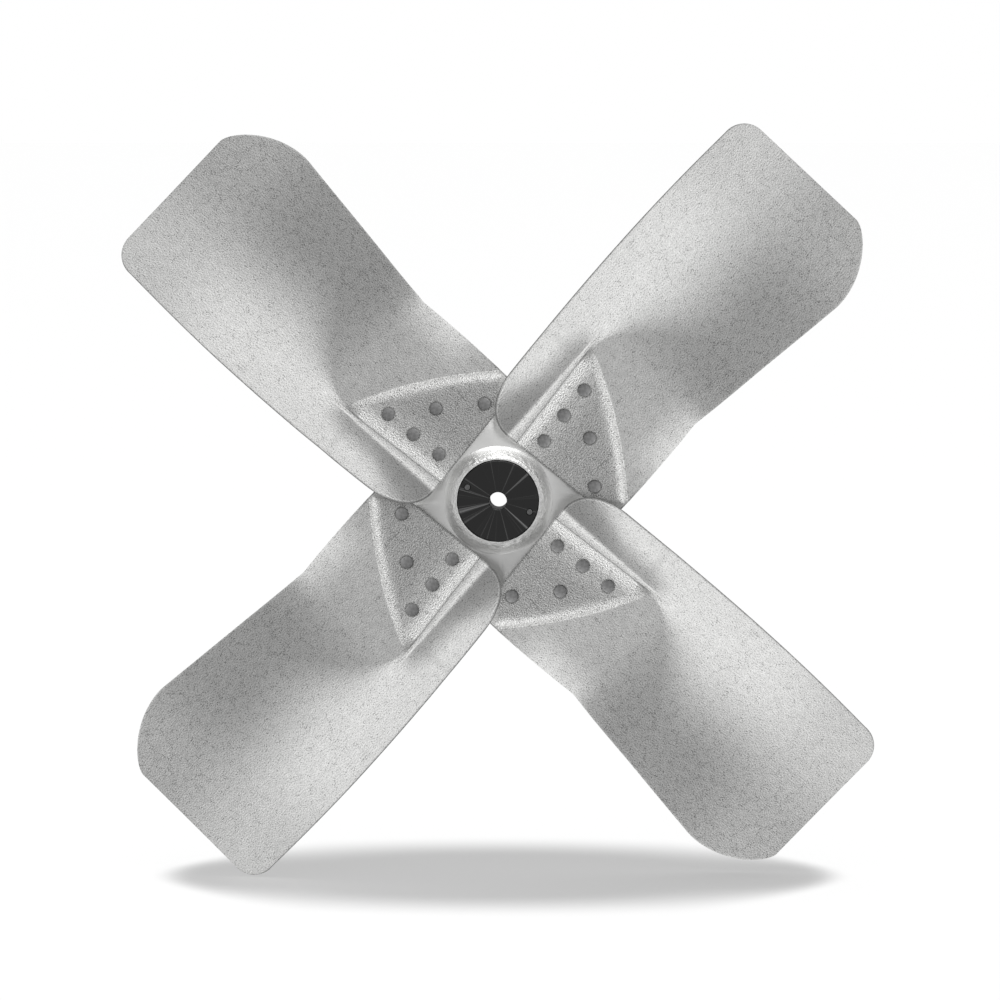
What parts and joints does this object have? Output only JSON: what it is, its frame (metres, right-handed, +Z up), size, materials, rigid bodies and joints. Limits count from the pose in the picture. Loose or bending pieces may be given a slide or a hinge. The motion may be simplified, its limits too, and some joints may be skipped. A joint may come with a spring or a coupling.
{
  "type": "axial fan blade assembly",
  "caption": "Propeller fan wheel of formed galvanized sheet blades riveted to a pressed spider, with a turned hub bored for a half-inch shaft.",
  "frame": {"origin": "on the shaft axis, at the hub's rear end, where a motor shaft enters", "axes": "+Z up as the fan hangs in the picture, +Y along the shaft towards the rear, -Y out of the front that faces the camera, +X to the right seen from the front"},
  "size_m": [0.5462, 0.0516, 0.5462],
  "materials": {
    "galvanized_blade": "hot-dip galvanized sheet, matt grey with fine dark pits",
    "plated_spider": "bright zinc plate, smooth satin",
    "blackened_hub": "turned and blackened steel",
    "rivet_steel": "plain dull steel"
  },
  "bodies": {
    "root": {"blade_1": "galvanized_blade", "blade_2": "galvanized_blade", "blade_3": "galvanized_blade", "blade_4": "galvanized_blade", "spider": "plated_spider", "hub": "blackened_hub", "rivet_1_1": "rivet_steel", "rivet_1_2": "rivet_steel", "rivet_1_3": "rivet_steel", "rivet_1_4": "rivet_steel", "rivet_1_5": "rivet_steel", "rivet_2_1": "rivet_steel", "rivet_2_2": "rivet_steel", "rivet_2_3": "rivet_steel", "rivet_2_4": "rivet_steel", "rivet_2_5": "rivet_steel", "rivet_3_1": "rivet_steel", "rivet_3_2": "rivet_steel", "rivet_3_3": "rivet_steel", "rivet_3_4": "rivet_steel", "rivet_3_5": "rivet_steel", "rivet_4_1": "rivet_steel", "rivet_4_2": "rivet_steel", "rivet_4_3": "rivet_steel", "rivet_4_4": "rivet_steel", "rivet_4_5": "rivet_steel", "hub_pin_1": "rivet_steel", "hub_pin_2": "rivet_steel", "set_screw": "rivet_steel"}
  },
  "joints": []
}
